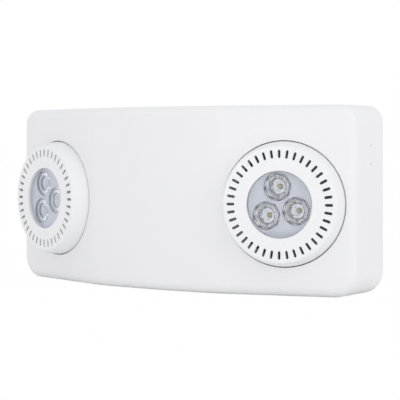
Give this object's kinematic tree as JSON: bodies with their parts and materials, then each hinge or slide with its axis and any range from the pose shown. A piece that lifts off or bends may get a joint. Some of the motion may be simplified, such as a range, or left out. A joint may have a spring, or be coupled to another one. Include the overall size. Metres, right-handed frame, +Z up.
{
  "type": "emergency light",
  "caption": "Wall emergency light: shallow bowed housing with swivelling round lamp heads, each with a ring of cooling slots round a clustered lens.",
  "frame": {"origin": "centre of the cable hole in the flat back, on the wall plane and at mid height and mid length of the unit", "axes": "+X along the unit towards its right end seen from the front, +Y into the wall, +Z up; the heads face -Y"},
  "size_m": [0.3048, 0.0811, 0.135],
  "materials": {
    "white_moulding": "satin",
    "head_moulding": "satin",
    "inner_moulding": "matte",
    "washer_plastic": "matte",
    "steel": "satin",
    "strap_steel": "satin",
    "battery_wrap": "satin",
    "board": "satin",
    "transformer_iron": "matte",
    "relay_case": "gloss",
    "can": "satin",
    "terminal_plastic": "satin",
    "switch_case": "matte",
    "indicator": "gloss",
    "lamp_aluminium": "satin",
    "lens": "gloss",
    "lamp_board": "satin",
    "emitter": "gloss",
    "contact_brass": "polished",
    "holder_ceramic": "matte",
    "button_red": "satin"
  },
  "bodies": {
    "housing": {"back_plate": "white_moulding", "front_cover": "white_moulding", "retainer_ring_left": "inner_moulding", "retainer_ring_right": "inner_moulding", "friction_washer_left": "washer_plastic", "friction_washer_right": "washer_plastic", "ring_screws_left": "steel", "ring_screws_right": "steel", "battery_pack": "battery_wrap", "battery_strap": "strap_steel", "strap_screws": "steel", "circuit_board": "board", "board_screws": "steel", "transformer": "transformer_iron", "relay": "relay_case", "capacitors": "can", "terminal_block": "terminal_plastic", "test_switch": "switch_case", "status_led": "indicator"},
    "swivel_left": {"swivel_ring_left": "inner_moulding", "pivot_pins_left": "steel"},
    "head_left": {"head_shell_left": "head_moulding", "lamp_clip_left": "steel", "lamp_body_left": "lamp_aluminium", "lens_plate_left": "lens", "lamp_board_left": "lamp_board", "emitters_left": "emitter", "lamp_contacts_left": "contact_brass", "lamp_holder_left": "holder_ceramic"},
    "swivel_right": {"swivel_ring_right": "inner_moulding", "pivot_pins_right": "steel"},
    "head_right": {"head_shell_right": "head_moulding", "lamp_clip_right": "steel", "lamp_body_right": "lamp_aluminium", "lens_plate_right": "lens", "lamp_board_right": "lamp_board", "emitters_right": "emitter", "lamp_contacts_right": "contact_brass", "lamp_holder_right": "holder_ceramic"},
    "button": {"test_button": "button_red", "switch_plunger": "switch_case"}
  },
  "joints": [
    {"name": "swivel_left", "type": "hinge", "parent": "housing", "child": "swivel_left", "pos_m": [-0.10254, -0.05252, -0.0023], "axis": [-0.2924, -0.9563, 0], "range_deg": [-170, 170]},
    {"name": "tilt_left", "type": "hinge", "parent": "swivel_left", "child": "head_left", "pos_m": [-0.10254, -0.05252, -0.0023], "axis": [0.9563, -0.2924, 0], "range_deg": [-15, 15]},
    {"name": "swivel_right", "type": "hinge", "parent": "housing", "child": "swivel_right", "pos_m": [0.10254, -0.05252, -0.0023], "axis": [0.2924, -0.9563, 0], "range_deg": [-170, 170]},
    {"name": "tilt_right", "type": "hinge", "parent": "swivel_right", "child": "head_right", "pos_m": [0.10254, -0.05252, -0.0023], "axis": [0.9563, 0.2924, 0], "range_deg": [-15, 15]},
    {"name": "test_button", "type": "slide", "parent": "housing", "child": "button", "axis": [0, 0, 1], "range_m": [0, 0.0012], "stiffness_N_per_m": 1500, "springref_m": -0.0006}
  ]
}
